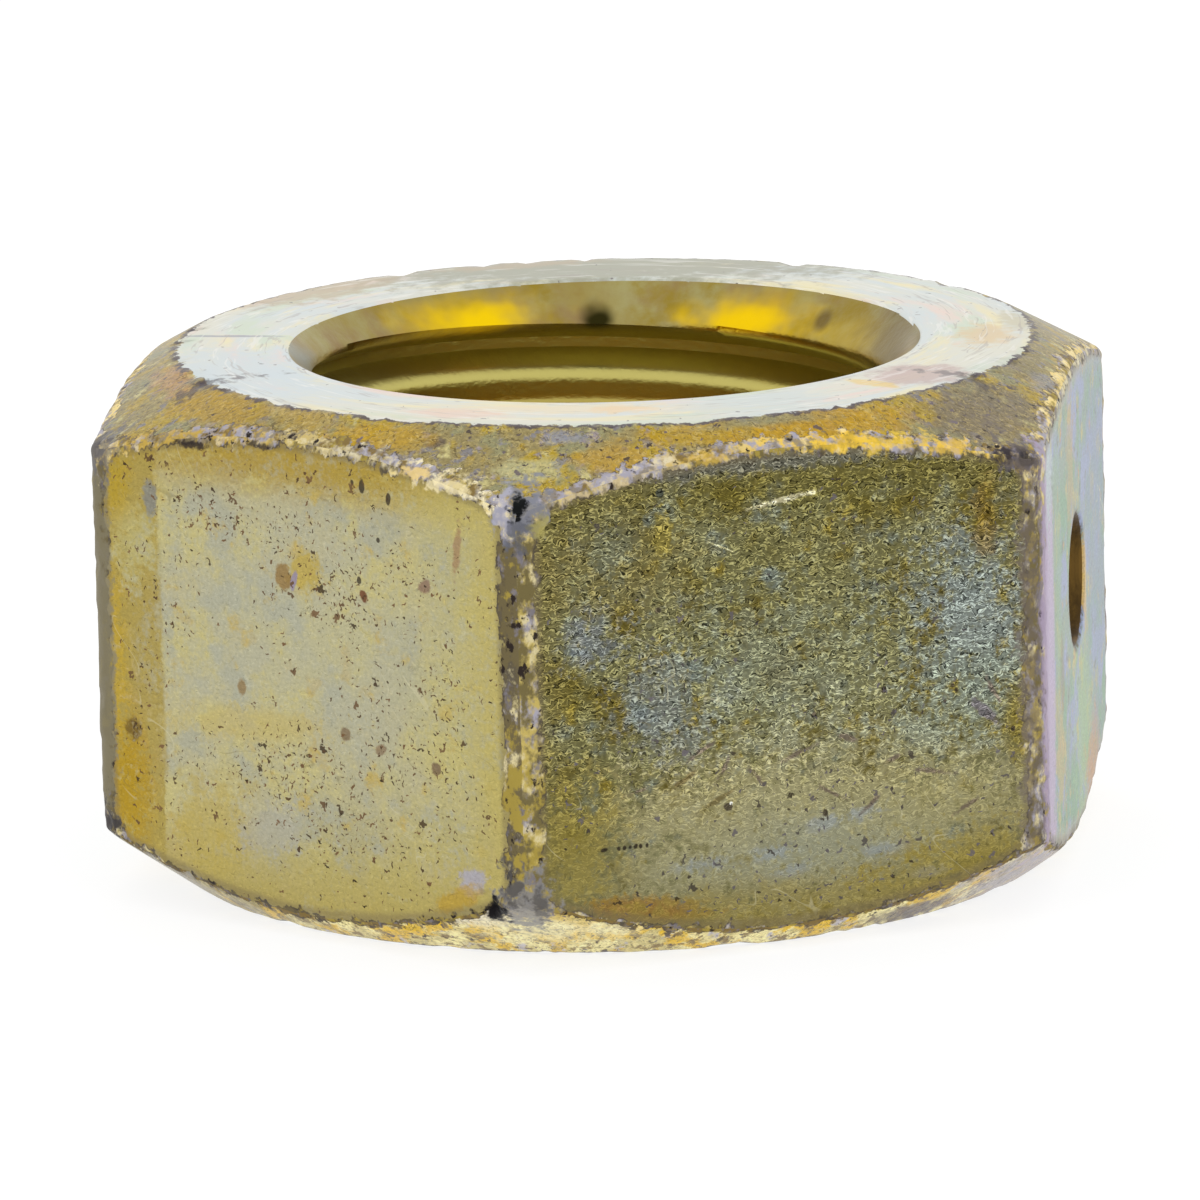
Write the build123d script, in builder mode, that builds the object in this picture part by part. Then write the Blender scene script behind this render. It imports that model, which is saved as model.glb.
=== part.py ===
from build123d import *
import math
import os

# Two-way hexagon lock nut, one piece of cold-formed steel, in millimetres.
# +Z is the thread axis and the origin is the middle of the lower bearing ring.
# Two opposite flats face +X and -X. Each has a round punch mark near mid-height
# that has pushed the wall of the bore inwards and so pinches the thread.

# Hexagon
across_flats = 28.575
nut_height = 15.75
corner_radius = 0.75

# Coned ends. Each leaves a flat ring, set in from the flats; the lower end is the steeper.
top_inset = 1.29
top_cone_angle = 28.5
bottom_inset = 0.99
bottom_cone_angle = 36.0
cone_edge_land = 0.2
ring_edge_radius = 0.5

# Bore: a 3/4 inch coarse thread, right-handed, with crests 16.8 mm across. Its start is
# the bearing at which the middle of its groove crosses the lower face.
thread_diameter = 19.05
thread_pitch = 2.54
thread_depth = 1.125
thread_start = -49.3
flank_angle = 60.0
countersink_diameter = 19.3
countersink_angle = 90.0

# Punch marks
mark_diameter = 3.9
mark_depth = 2.4
mark_draft = 6.0
mark_tip_angle = 140.0
mark_lip = 0.18
mark_above_middle = 0.57

# Swell of the bore behind each mark
swell_height = 0.08
swell_length = 4.5

# The thread's groove has a floor of 1/8 of the pitch.
flank_slope = math.tan(math.radians(flank_angle / 2))
groove_radius = thread_diameter / 2
groove_floor = thread_pitch / 8
bore_radius = groove_radius - thread_depth

flat_distance = across_flats / 2
corner_distance = flat_distance / math.cos(math.radians(30))
top_ring_radius = flat_distance - top_inset
top_cone_drop = (corner_distance - top_ring_radius) * math.tan(math.radians(top_cone_angle))
bottom_ring_radius = flat_distance - bottom_inset
bottom_cone_drop = (corner_distance - bottom_ring_radius) * math.tan(math.radians(bottom_cone_angle))

mark_height = nut_height / 2 + mark_above_middle
mark_radius = mark_diameter / 2
mark_tip_depth = mark_radius / math.tan(math.radians(mark_tip_angle / 2))
mark_wall_depth = mark_depth - mark_tip_depth
mark_foot_radius = mark_radius - mark_wall_depth * math.tan(math.radians(mark_draft))
mark_axis = Axis((0, 0, mark_height), (1, 0, 0))

# The swell is the cap of a large sphere. It leaves the bore's wall half its length
# above and below the mark, and runs on a little way inside the metal.
swell_half_length = swell_length / 2
swell_sphere = (swell_half_length**2 + swell_height**2) / (2 * swell_height)
swell_rim_radius = 1.1 * swell_half_length
swell_rim_depth = swell_sphere - math.sqrt(swell_sphere**2 - swell_rim_radius**2)
swell_apex = bore_radius - swell_height

# The cutters of the thread and the countersinks reach a little way into the open bore.
countersink_radius = countersink_diameter / 2
open_radius = bore_radius - 2 * swell_height
cutter_mouth = groove_floor + 2 * (groove_radius - open_radius) * flank_slope
countersink_reach = (countersink_radius - open_radius) / math.tan(math.radians(countersink_angle / 2))


def mark_point(depth, radius):
    """A point of a punch mark's outline, by its depth below the flat and its distance from the axis."""
    return (flat_distance - depth, mark_height + radius)


with BuildPart() as nut_body:
    with BuildSketch() as hexagon:
        RegularPolygon(flat_distance, 6, major_radius=False, rotation=30)
        fillet(hexagon.vertices(), corner_radius)
    extrude(amount=nut_height)

    # Turning both ends to a cone cuts the six flats to their curved outlines.
    with BuildSketch(Plane.XZ):
        with BuildLine():
            Polyline(
                (0, 0),
                (bottom_ring_radius, 0),
                (corner_distance, bottom_cone_drop),
                (corner_distance, nut_height - top_cone_drop),
                (top_ring_radius, nut_height),
                (0, nut_height),
                close=True,
            )
        make_face()
    revolve(mode=Mode.INTERSECT)

    # The blow of the die leaves a narrow land where each flat and corner meets its cones.
    sides = nut_body.faces().filter_by(lambda face: abs(face.normal_at().Z) < 0.01)
    cone_edges = [
        edge
        for side in sides
        for edge in side.edges()
        if abs(edge.tangent_at(0.5).Z) < 0.9
    ]
    chamfer(cone_edges, cone_edge_land)

    ends = nut_body.faces().filter_by(Axis.Z)
    ring_edges = [edge for end in ends for edge in end.edges()]
    fillet(ring_edges, ring_edge_radius)

    with BuildPart(mode=Mode.PRIVATE) as groove:
        with BuildLine() as helix:
            Helix(thread_pitch, nut_height + 2 * thread_pitch, groove_radius)
        with BuildSketch(Plane.XZ):
            with BuildLine():
                Polyline(
                    (open_radius, -cutter_mouth / 2),
                    (groove_radius, -groove_floor / 2),
                    (groove_radius, groove_floor / 2),
                    (open_radius, cutter_mouth / 2),
                    close=True,
                )
            make_face()
        sweep(path=helix.line, is_frenet=True)

    # Threaded bore. Its cutter is a cylinder as wide as the crests, hollowed by a swell
    # behind each mark, with the groove round it from a pitch below the nut to a pitch above.
    with BuildPart(mode=Mode.SUBTRACT):
        with BuildSketch(Plane.XY.rotated((0, 0, thread_start))):
            Circle(bore_radius)
        extrude(amount=nut_height + thread_pitch)
        with BuildSketch(Plane.XZ):
            with BuildLine():
                RadiusArc(
                    (swell_apex, mark_height),
                    (swell_apex + swell_rim_depth, mark_height + swell_rim_radius),
                    swell_sphere,
                )
                Polyline(
                    (swell_apex + swell_rim_depth, mark_height + swell_rim_radius),
                    (groove_radius, mark_height + swell_rim_radius),
                    (groove_radius, mark_height),
                    (swell_apex, mark_height),
                )
            make_face()
            mirror(about=Plane.YZ)
        revolve(axis=mark_axis, mode=Mode.SUBTRACT)
        with Locations(Location((0, 0, -thread_pitch), (0, 0, thread_start))):
            add(groove.part)

    # Countersunk mouths
    with BuildSketch(Plane.XZ):
        with BuildLine():
            Polyline(
                (0, 0),
                (countersink_radius, 0),
                (open_radius, countersink_reach),
                (open_radius, nut_height - countersink_reach),
                (countersink_radius, nut_height),
                (0, nut_height),
                close=True,
            )
        make_face()
    revolve(mode=Mode.SUBTRACT)

    # Punch marks: a drafted wall, a blunt tip and a lip drawn in round the mouth
    with BuildSketch(Plane.XZ):
        with BuildLine():
            Polyline(
                mark_point(0, 0),
                mark_point(0, mark_radius + mark_lip),
                mark_point(mark_lip, mark_radius),
                mark_point(mark_wall_depth, mark_foot_radius),
                mark_point(mark_depth, 0),
                close=True,
            )
        make_face()
        mirror(about=Plane.YZ)
    revolve(axis=mark_axis, mode=Mode.SUBTRACT)

nut_body.part.label = "nut_body"

os.makedirs("parts", exist_ok=True)
export_step(nut_body.part, "parts/nut_body.step")
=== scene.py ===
import math

import bpy
import numpy as np
from mathutils import Color, Matrix, Vector, noise


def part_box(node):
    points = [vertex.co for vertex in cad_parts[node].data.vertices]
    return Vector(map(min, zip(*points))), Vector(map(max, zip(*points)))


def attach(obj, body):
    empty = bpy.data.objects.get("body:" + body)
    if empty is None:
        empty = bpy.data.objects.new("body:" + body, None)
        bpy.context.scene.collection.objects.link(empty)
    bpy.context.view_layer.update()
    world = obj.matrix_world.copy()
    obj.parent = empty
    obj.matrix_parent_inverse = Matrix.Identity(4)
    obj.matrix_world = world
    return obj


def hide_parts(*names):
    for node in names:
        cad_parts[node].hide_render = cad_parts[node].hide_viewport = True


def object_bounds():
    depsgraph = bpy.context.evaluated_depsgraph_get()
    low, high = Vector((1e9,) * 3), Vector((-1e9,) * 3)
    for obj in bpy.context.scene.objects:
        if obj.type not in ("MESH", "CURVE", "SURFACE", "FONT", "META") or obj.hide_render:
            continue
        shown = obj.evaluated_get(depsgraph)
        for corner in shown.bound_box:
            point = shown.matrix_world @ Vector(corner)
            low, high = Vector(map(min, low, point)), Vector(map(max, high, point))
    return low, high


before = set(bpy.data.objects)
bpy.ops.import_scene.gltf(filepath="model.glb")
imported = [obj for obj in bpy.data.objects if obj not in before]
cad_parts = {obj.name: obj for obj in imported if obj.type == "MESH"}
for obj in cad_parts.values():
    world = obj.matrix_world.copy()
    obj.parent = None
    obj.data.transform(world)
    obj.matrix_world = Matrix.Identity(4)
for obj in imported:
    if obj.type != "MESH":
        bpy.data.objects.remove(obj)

cad_low, cad_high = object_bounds()
mm = 0.001


# The studio is a white table and backdrop under soft light, with a long lens low in front.
# The camera stands a little to the left of the flats' corner and leans slightly.
floor = bpy.data.objects.new("floor", bpy.data.meshes.new("floor"))
bpy.context.collection.objects.link(floor)
floor_reach = 1.5
floor.data.from_pydata(
    [(x, y, cad_low.z) for x, y in ((-1, -1), (1, -1), (1, 1), (-1, 1))], [], [(0, 1, 2, 3)]
)
floor.data.transform(Matrix.Diagonal((floor_reach, floor_reach, 1, 1)))


def screen(red, green, blue):
    """A colour as a screen shows it, 0 to 255, as the linear colour that a shader takes."""
    return (*Color((red / 255, green / 255, blue / 255)).from_srgb_to_scene_linear(), 1)


def add_node(tree, kind, inputs=None, **settings):
    """A shader node with its settings made and its inputs set or joined."""
    node = tree.nodes.new("ShaderNode" + kind)
    for name, value in settings.items():
        setattr(node, name, value)
    for name, value in (inputs or {}).items():
        if isinstance(value, bpy.types.NodeSocket):
            tree.links.new(value, node.inputs[name])
        else:
            node.inputs[name].default_value = value
    return node


def new_material(name, mesh):
    """An empty node material on a mesh: its node tree and its output."""
    material = bpy.data.materials.new(name)
    material.use_nodes = True
    material.node_tree.nodes.clear()
    mesh.materials.append(material)
    return material.node_tree, material.node_tree.nodes.new("ShaderNodeOutputMaterial")


table_shade = 0.25
table_glow = 0.82
tree, out = new_material("white_table", floor.data)
rays = add_node(tree, "LightPath")
seen = add_node(tree, "Math", {0: rays.outputs["Is Camera Ray"], 1: rays.outputs["Is Glossy Ray"]},
                operation="MAXIMUM")
shade = add_node(tree, "BsdfDiffuse", {"Color": (*(table_shade,) * 3, 1)})
glow = add_node(tree, "Emission", {"Color": (*(table_glow,) * 3, 1), "Strength": seen.outputs[0]})
both = add_node(tree, "AddShader", {0: shade.outputs[0], 1: glow.outputs[0]})
tree.links.new(both.outputs[0], out.inputs["Surface"])

world = bpy.data.worlds.new("white_room")
bpy.context.scene.world = world
world.use_nodes = True
background = world.node_tree.nodes["Background"]
background.inputs["Color"].default_value = (1, 1, 1, 1)
background.inputs["Strength"].default_value = 1.0

camera_azimuth = math.radians(9.53)
camera_elevation = math.radians(12.71)
camera_roll = math.radians(-1.39)
camera_distance = 297.4 * mm
aim_right = -0.32 * mm
aim_up = 7.62 * mm

camera = bpy.data.objects.new("camera", bpy.data.cameras.new("camera"))
bpy.context.collection.objects.link(camera)
bpy.context.scene.camera = camera
camera.data.sensor_width = 36
camera.data.lens = 293
camera.data.clip_start = 0.01
facing = Matrix.Rotation(camera_azimuth, 4, "Z") @ Matrix.Rotation(math.pi / 2 - camera_elevation, 4, "X")
aim = Vector((aim_right * math.cos(camera_azimuth), aim_right * math.sin(camera_azimuth), aim_up))
camera.matrix_world = (
    Matrix.Translation(aim)
    @ facing
    @ Matrix.Translation((0, 0, camera_distance))
    @ Matrix.Rotation(camera_roll, 4, "Z")
)
bpy.context.scene.view_settings.view_transform = "Standard"


# The nut is one piece of cold-formed steel: a hexagon whose ends were struck to a cone, which
# leaves a flat bearing ring at each end. Its bore is countersunk and threaded, and two opposite
# flats carry a round punch mark. Sizes here are in millimetres until the mesh is made.
cad_box_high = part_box("nut_body")[1]
flat_distance = cad_box_high.x / mm
nut_height = cad_box_high.z / mm
corner_radius = 0.75
top_ring_radius = flat_distance - 1.29
top_cone_angle = math.radians(28.5)
bottom_ring_radius = flat_distance - 0.99
bottom_cone_angle = math.radians(36.0)
mouth_radius = 9.65
bore_radius = 8.4
thread_radius = 9.525
thread_pitch = 2.54

side_rounding = 0.38
ring_rounding = 0.45
mouth_rounding = 0.3

flat_columns = 68
corner_columns = 8
sector = math.radians(60)
half_flat = (flat_distance - corner_radius) * math.tan(sector / 2)


def hexagon_columns():
    """Points of the hexagon's outline, in one turn from the first flat's right-hand end."""
    points = []
    for side in range(6):
        turn = side * sector
        outward = np.array((math.cos(turn), math.sin(turn)))
        along = np.array((-math.sin(turn), math.cos(turn)))
        for step in range(flat_columns + 1):
            share = 2 * step / flat_columns - 1
            across = half_flat * (1.35 * share - 0.35 * share**3)
            points.append(outward * flat_distance + along * across)
        centre = outward * (flat_distance - corner_radius) + along * half_flat
        for step in range(1, corner_columns):
            bend = turn + sector * step / corner_columns
            points.append(centre + corner_radius * np.array((math.cos(bend), math.sin(bend))))
    return np.array(points)


def rounded(start_heading, turn, radius, steps):
    """Offsets of a small arc from its sharp corner, in the (outward, upward) plane."""
    reach = radius * math.tan(abs(turn) / 2)
    heading = np.array((math.cos(start_heading), math.sin(start_heading)))
    side = math.copysign(1, turn)
    normal = side * np.array((-heading[1], heading[0]))
    centre = -reach * heading + radius * normal
    arc = []
    for step in range(steps + 1):
        swing = start_heading + turn * step / steps
        arc.append(centre + radius * side * np.array((math.sin(swing), -math.cos(swing))))
    return arc


columns = hexagon_columns()
column_count = len(columns)
reach = np.hypot(columns[:, 0], columns[:, 1])
bearing = np.arctan2(columns[:, 1], columns[:, 0])
mouth_arc = rounded(math.radians(45), -math.radians(45), mouth_rounding, 3)


def end_rows(ring_radius, cone_angle):
    """Rows of one end, from the countersink's mouth out and down to the side: radius and drop."""
    rows = [(mouth_radius + out, 0 * reach - up) for out, up in mouth_arc]
    ring_arc = rounded(0, -cone_angle, ring_rounding, 4)
    ring_start = rows[-1][0]
    ring_end = ring_radius + ring_arc[0][0]
    ring_rows = 7
    for step in range(1, ring_rows):
        rows.append((ring_start + (ring_end - ring_start) * step / ring_rows, 0 * reach))
    rows += [(ring_radius + out, 0 * reach - up) for out, up in ring_arc]

    arc_drop = (reach - ring_radius) * math.tan(cone_angle)
    side_arc = rounded(-cone_angle, cone_angle - math.pi / 2, side_rounding, 6)
    cone_start, cone_top = rows[-1]
    cone_end, cone_foot = reach + side_arc[0][0], arc_drop - side_arc[0][1]
    cone_rows = 16
    for step in range(1, cone_rows):
        share = 1 - (1 - step / cone_rows) ** 1.25
        rows.append((cone_start + (cone_end - cone_start) * share,
                     cone_top + (cone_foot - cone_top) * share))
    rows += [(reach + out, arc_drop - up) for out, up in side_arc]
    return [np.broadcast_arrays(*row, reach)[:2] for row in rows]


top_rows = end_rows(top_ring_radius, top_cone_angle)
bottom_rows = end_rows(bottom_ring_radius, bottom_cone_angle)
side_start = nut_height - top_rows[-1][1]
side_end = bottom_rows[-1][1]
outer_rows = [(radius, nut_height - drop) for radius, drop in top_rows]
side_rows = 50
for step in range(1, side_rows):
    share = 2 * step / side_rows - 1
    share = (1 + 1.3 * share - 0.3 * share**3) / 2
    outer_rows.append((reach, side_start + (side_end - side_start) * share))
outer_rows += reversed(bottom_rows)

# Inside, a 60 degree thread runs out into a countersink at each end. Its turns climb one
# pitch in each turn round the bore, so its rows lie along the helix.
thread_start = math.radians(-49.3)
rows_in_pitch = (-0.5, -0.44, -0.375, -0.3, -0.21, -0.13, -0.0625, 0.0, 0.0625, 0.13, 0.21, 0.3, 0.375, 0.44)
wall_top = nut_height + mouth_arc[0][1]
wall_bottom = nut_height - wall_top

climb = np.mod(bearing, 2 * math.pi) / (2 * math.pi)
first_column = int(np.argmin(climb))
groove_start = -thread_pitch * thread_start / (2 * math.pi)


def thread_wall(height, climb):
    """Radius of the bore's wall, by height and by share of a turn."""
    turns = (height - groove_start) / thread_pitch - climb
    off_groove = np.abs(turns - np.round(turns)) * thread_pitch
    flank = thread_radius - (off_groove - thread_pitch / 16) * math.sqrt(3)
    wall = np.clip(flank, bore_radius, thread_radius)
    soft = 0.05
    for countersink in (mouth_radius - (nut_height - height), mouth_radius - height):
        wall = soft * np.logaddexp(wall / soft, countersink / soft)
    return wall


turn_count = int(nut_height / thread_pitch) + 3
lowest_turn = math.floor((wall_bottom - groove_start) / thread_pitch) - 1
bore_height = np.array([
    np.clip(groove_start + (turn + place + climb) * thread_pitch, wall_bottom, wall_top)
    for turn in range(lowest_turn, lowest_turn + turn_count)
    for place in rows_in_pitch
])
bore_wall = thread_wall(bore_height, climb)


def quads(index):
    """Faces between the rows of a grid of point numbers that goes all the way round."""
    after = np.roll(index, -1, axis=1)
    corners = np.stack((index[:-1], index[1:], after[1:], after[:-1]), axis=-1)
    return corners.reshape(-1, 4).tolist()


# The outer rows close on the bore's rows at the two mouths, so the surface has no edge.
mouth_reach = 0.02
direction = np.column_stack((np.cos(bearing), np.sin(bearing)))
vertices = [np.column_stack((direction * radius[:, None], height)) for radius, height in outer_rows]
outer_index = np.arange(len(outer_rows) * column_count).reshape(-1, column_count)
bore_index = np.empty(bore_height.shape, int)
bore_vertices = []
for row, column in np.ndindex(bore_height.shape):
    height = bore_height[row, column]
    if height >= wall_top - mouth_reach:
        bore_index[row, column] = outer_index[0, column]
    elif height <= wall_bottom + mouth_reach:
        bore_index[row, column] = outer_index[-1, column]
    else:
        bore_index[row, column] = outer_index.size + len(bore_vertices)
        bore_vertices.append((*(direction[column] * bore_wall[row, column]), height))
vertices = np.vstack(vertices + [np.array(bore_vertices)])

faces = quads(outer_index)
last_row = len(bore_height) - 1
for row in range(last_row):
    for column in range(column_count):
        after = (column + 1) % column_count
        lift = len(rows_in_pitch) if after == first_column else 0
        corners = (
            bore_index[row, column],
            bore_index[row + 1, column],
            bore_index[min(row + 1 + lift, last_row), after],
            bore_index[min(row + lift, last_row), after],
        )
        kept = [corner for place, corner in enumerate(corners) if corner != corners[place - 1]]
        if len(set(kept)) == len(kept) >= 3:
            faces.append(tuple(kept))

body = bpy.data.meshes.new("lock_nut")
body.from_pydata(vertices.tolist(), [], faces)
nut = bpy.data.objects.new("lock_nut", body)
bpy.context.collection.objects.link(nut)

# Punch marks: each has a lip drawn in round it, a drafted wall and a blunt tip.
mark_depth = 2.4
mark_height = nut_height / 2 + 0.57
mark_profile = (
    # below the flat, from the axis
    (-0.4, 2.53),
    (0.0, 2.13),
    (0.07, 2.03),
    (0.18, 1.95),
    (1.1, 1.86),
    (1.55, 1.79),
    (1.76, 1.62),
    (1.98, 1.15),
    (2.28, 0.4),
)
mark_steps = 96
around = np.arange(mark_steps) * 2 * math.pi / mark_steps
for side in (1, -1):
    ring_points = [
        np.column_stack((np.full(mark_steps, flat_distance - depth), radius * np.cos(around),
                         mark_height + radius * np.sin(around)))
        for depth, radius in mark_profile
    ]
    tip = (flat_distance - mark_depth, 0, mark_height)
    points = np.vstack(ring_points + [tip])
    points[:, :2] *= side
    index = np.arange(len(points) - 1).reshape(-1, mark_steps)
    punch_faces = [tuple(range(mark_steps))] + quads(index)
    for start, end in zip(index[-1], np.roll(index[-1], -1)):
        punch_faces.append((int(start), len(points) - 1, int(end)))
    punch_mesh = bpy.data.meshes.new("punch")
    punch_mesh.from_pydata(points.tolist(), [], punch_faces)
    punch = bpy.data.objects.new("punch", punch_mesh)
    bpy.context.collection.objects.link(punch)
    cut = nut.modifiers.new("punch_mark", "BOOLEAN")
    cut.object = punch
    cut.operation = "DIFFERENCE"
    cut.solver = "EXACT"
    bpy.context.view_layer.update()
    marked = bpy.data.meshes.new_from_object(nut.evaluated_get(bpy.context.evaluated_depsgraph_get()))
    nut.modifiers.clear()
    nut.data = marked
    bpy.data.objects.remove(punch)
body = nut.data
body.name = "lock_nut"


# Distances over the surface: in from the hexagon's nearest edge, which is a corner or the arc
# where a flat meets a cone, and out from the rim of the bearing ring.
def nearest_flat(points):
    """Each point's flat, counted round from +X, and its place out from the axis and along the flat."""
    turn = np.round(np.arctan2(points[:, 1], points[:, 0]) / sector)
    cosine, sine = np.cos(turn * sector), np.sin(turn * sector)
    out = points[:, 0] * cosine + points[:, 1] * sine
    along = points[:, 1] * cosine - points[:, 0] * sine
    return turn.astype(int) % 6, out, along


def arc_heights(outline):
    """Heights of the two arcs, where the hexagon's outline is this far from the axis."""
    top_arc = nut_height - (outline - top_ring_radius) * math.tan(top_cone_angle)
    bottom_arc = (outline - bottom_ring_radius) * math.tan(bottom_cone_angle)
    return top_arc, bottom_arc


def edge_distances(points):
    """Edge gap, rim gap and the heights of the two arcs, at each point of the outer surface."""
    along = nearest_flat(points)[2]
    radius = np.hypot(points[:, 0], points[:, 1])
    outline = np.interp(np.arctan2(points[:, 1], points[:, 0]), bearing, reach, period=2 * math.pi)
    top_arc, bottom_arc = arc_heights(outline)

    border_radius = 0.9
    beside = half_flat - np.abs(along)
    above = np.minimum(top_arc - points[:, 2], points[:, 2] - bottom_arc)
    in_border = np.hypot(np.maximum(border_radius - beside, 0), np.maximum(border_radius - above, 0))
    on_side = np.where(in_border > 0, border_radius - in_border, np.minimum(beside, above))
    on_cone = (outline - radius) / math.cos(top_cone_angle)

    ring_radius = np.where(points[:, 2] > nut_height / 2, top_ring_radius, bottom_ring_radius)
    return np.maximum(on_side, on_cone), radius - ring_radius, top_arc, bottom_arc


def read_vectors(values, name):
    """A mesh's positions or normals as an array."""
    read = np.empty(len(values) * 3, np.float32)
    values.foreach_get(name, read)
    return read.reshape(-1, 3).astype(float)


places = read_vectors(body.vertices, "co")
normals = read_vectors(body.vertex_normals, "vector")
edge_gap, rim_gap, top_arc, bottom_arc = edge_distances(places)
bore_reach = mouth_radius - 0.1
in_bore = np.hypot(places[:, 0], places[:, 1]) < bore_reach

# Knocks have rounded the edges unevenly. Each dent is a small bowl: its bearing in degrees,
# its distance from the axis, its height, how wide it is and how deep.
dents = [
    (-89.8, 16.35, 13.95, 0.42, 0.3),
    (-94.2, 15.9, 1.95, 0.45, 0.26),
    (-90.0, 16.4, 2.5, 0.5, 0.12),
    (-150.0, 16.4, 2.5, 0.5, 0.16),
    (-149.0, 16.3, 13.9, 0.5, 0.1),
    (-31.5, 16.3, 13.9, 0.5, 0.14),
    (-30.0, 16.4, 4.0, 0.5, 0.1),
    (-13.0, 12.9, 15.7, 0.45, 0.12),
    (-24.0, 13.0, 15.7, 0.4, 0.1),
    (-147.0, 13.0, 15.7, 0.4, 0.1),
]
small_dents = np.random.default_rng(19)
small_dent_count = 150
corner_distance = 16.38
for step in range(small_dent_count):
    angle = small_dents.uniform(-180, 180)
    outline = float(np.interp(math.radians(angle), bearing, reach, period=2 * math.pi))
    place = small_dents.choice(("top_arc", "bottom_arc", "top_rim", "bottom_rim", "corner"))
    if place == "top_arc":
        spot = (angle, outline, arc_heights(outline)[0])
    elif place == "bottom_arc":
        spot = (angle, outline, arc_heights(outline)[1])
    elif place == "top_rim":
        spot = (angle, top_ring_radius, nut_height)
    elif place == "bottom_rim":
        spot = (angle, bottom_ring_radius, 0.0)
    else:
        spot = (round(angle / 60 + 0.5) * 60 - 30, corner_distance, small_dents.uniform(2, nut_height - 2))
    dents.append((*spot, small_dents.uniform(0.25, 0.55), small_dents.uniform(0.03, 0.11)))

sunk = np.zeros(len(places))
for angle, distance, up, size, depth in dents:
    angle = math.radians(angle)
    spot = np.array((distance * math.cos(angle), distance * math.sin(angle), up))
    near = np.clip(1 - (np.linalg.norm(places - spot, axis=1) / size) ** 2, 0, 1)
    sunk = np.maximum(sunk, depth * near**1.5)

edge_wear_depth = 0.08
edge_wear_width = 0.5
rim_wear_depth = 0.03
rim_wear_width = 0.3
edge_wear = edge_wear_depth * np.clip(1 - np.maximum(edge_gap, 0) / edge_wear_width, 0, 1)
rim_wear = rim_wear_depth * np.clip(1 - np.abs(rim_gap) / rim_wear_width, 0, 1)
wear = np.where(in_bore, 0, edge_wear + rim_wear)
for point in np.flatnonzero(wear):
    spot = Vector(places[point])
    lump = 0.5 + 0.6 * noise.noise(spot * 1.3) + 0.5 * noise.noise(spot * 3.1)
    sunk[point] += wear[point] * min(max(lump, 0), 1)
sunk[in_bore] = 0

# Behind each mark the wall of the bore stands in a little.
swell_height = 0.1
swell_half_length = 2.25
off_mark = np.hypot(places[:, 1], places[:, 2] - mark_height)
swell = swell_height * np.clip(1 - (off_mark / swell_half_length) ** 2, 0, 1)
inward = -places * (1, 1, 0)
inward /= np.linalg.norm(inward, axis=1)[:, None]
places += -normals * sunk[:, None] + inward * np.where(in_bore, swell, 0)[:, None]
body.vertices.foreach_set("co", (places * mm).ravel())

arc_gap = np.maximum(np.minimum(top_arc - places[:, 2], places[:, 2] - bottom_arc), 0)
for name, values in (("edge_gap", edge_gap), ("rim_gap", rim_gap), ("arc_gap", arc_gap)):
    body.attributes.new(name, "FLOAT", "POINT").data.foreach_set("value", values)

# Each face takes its finish by where it lies: one of the six flats, or one of these. In a mark
# it lies below the flat, near the mark's middle and clear of the bore.
upper_end, lower_end, bore_finish, mark_finish = range(6, 10)
arc_slack = 0.03
mark_start = 0.09
mark_reach = 2.1
mark_clearance = 2
sharp_angle = math.radians(50)
centres = np.array([places[list(face.vertices)].mean(axis=0) for face in body.polygons])
face_flat, face_out, face_along = nearest_flat(centres)
face_top_arc, face_bottom_arc = edge_distances(centres)[2:]
face_radius = np.hypot(centres[:, 0], centres[:, 1])
in_mark = (
    (face_flat % 3 == 0)
    & (face_out < flat_distance - mark_start)
    & (face_radius > bore_radius + mark_clearance)
    & (np.hypot(face_along, centres[:, 2] - mark_height) < mark_reach)
)
finish = face_flat.copy()
finish[centres[:, 2] > face_top_arc - arc_slack] = upper_end
finish[centres[:, 2] < face_bottom_arc + arc_slack] = lower_end
finish[face_radius < bore_reach] = bore_finish
finish[in_mark] = mark_finish
body.polygons.foreach_set("material_index", finish)
body.polygons.foreach_set("use_smooth", [True] * len(finish))
body.set_sharp_from_angle(angle=sharp_angle)
body.update()


# The plate's effects, each a node group: film patches, specks, hairline scratches, curled
# strokes drawn with painted highlight and shade lines, the crust of the worn edges with painted
# glints, and stains. Their lengths are in millimetres. All but the last two are drawn on the X
# and Y of the surface that they are given.
class Value:
    """What a node puts out. A sum with it makes one node."""

    def __init__(self, socket):
        self.socket = socket

    def __add__(self, other):
        return calc("ADD", self, other)

    def __sub__(self, other):
        return calc("SUBTRACT", self, other)

    def __mul__(self, other):
        return calc("MULTIPLY", self, other)

    def __truediv__(self, other):
        return calc("DIVIDE", self, other)

    def __radd__(self, other):
        return calc("ADD", other, self)

    def __rsub__(self, other):
        return calc("SUBTRACT", other, self)

    def __rtruediv__(self, other):
        return calc("DIVIDE", other, self)


def feed(kind, inputs, outputs, **settings):
    """A new node in the tree that its inputs come from, and one or more of its outputs."""
    tree = next(value.socket.id_data for value in inputs.values() if isinstance(value, Value))
    inputs = {name: getattr(value, "socket", value) for name, value in inputs.items()}
    node = add_node(tree, kind, inputs, **settings)
    if isinstance(outputs, tuple):
        return [Value(node.outputs[output]) for output in outputs]
    return Value(node.outputs[outputs])


def calc(operation, *terms):
    """The result of one Math node, or of a Vector Math node if a term is a vector or a colour."""
    if all(term.socket.type == "VALUE" for term in terms if isinstance(term, Value)):
        return feed("Math", dict(enumerate(terms)), 0, operation=operation)
    terms = [term if isinstance(term, (Value, tuple)) else (term,) * 3 for term in terms]
    return feed("VectorMath", dict(enumerate(terms)), "Vector", operation=operation)


def length(vector):
    """A vector's length."""
    return feed("VectorMath", {0: vector}, "Value", operation="LENGTH")


def joined(x, y, z=0.0):
    """A vector from its three parts."""
    return feed("CombineXYZ", {"X": x, "Y": y, "Z": z}, 0)


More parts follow.
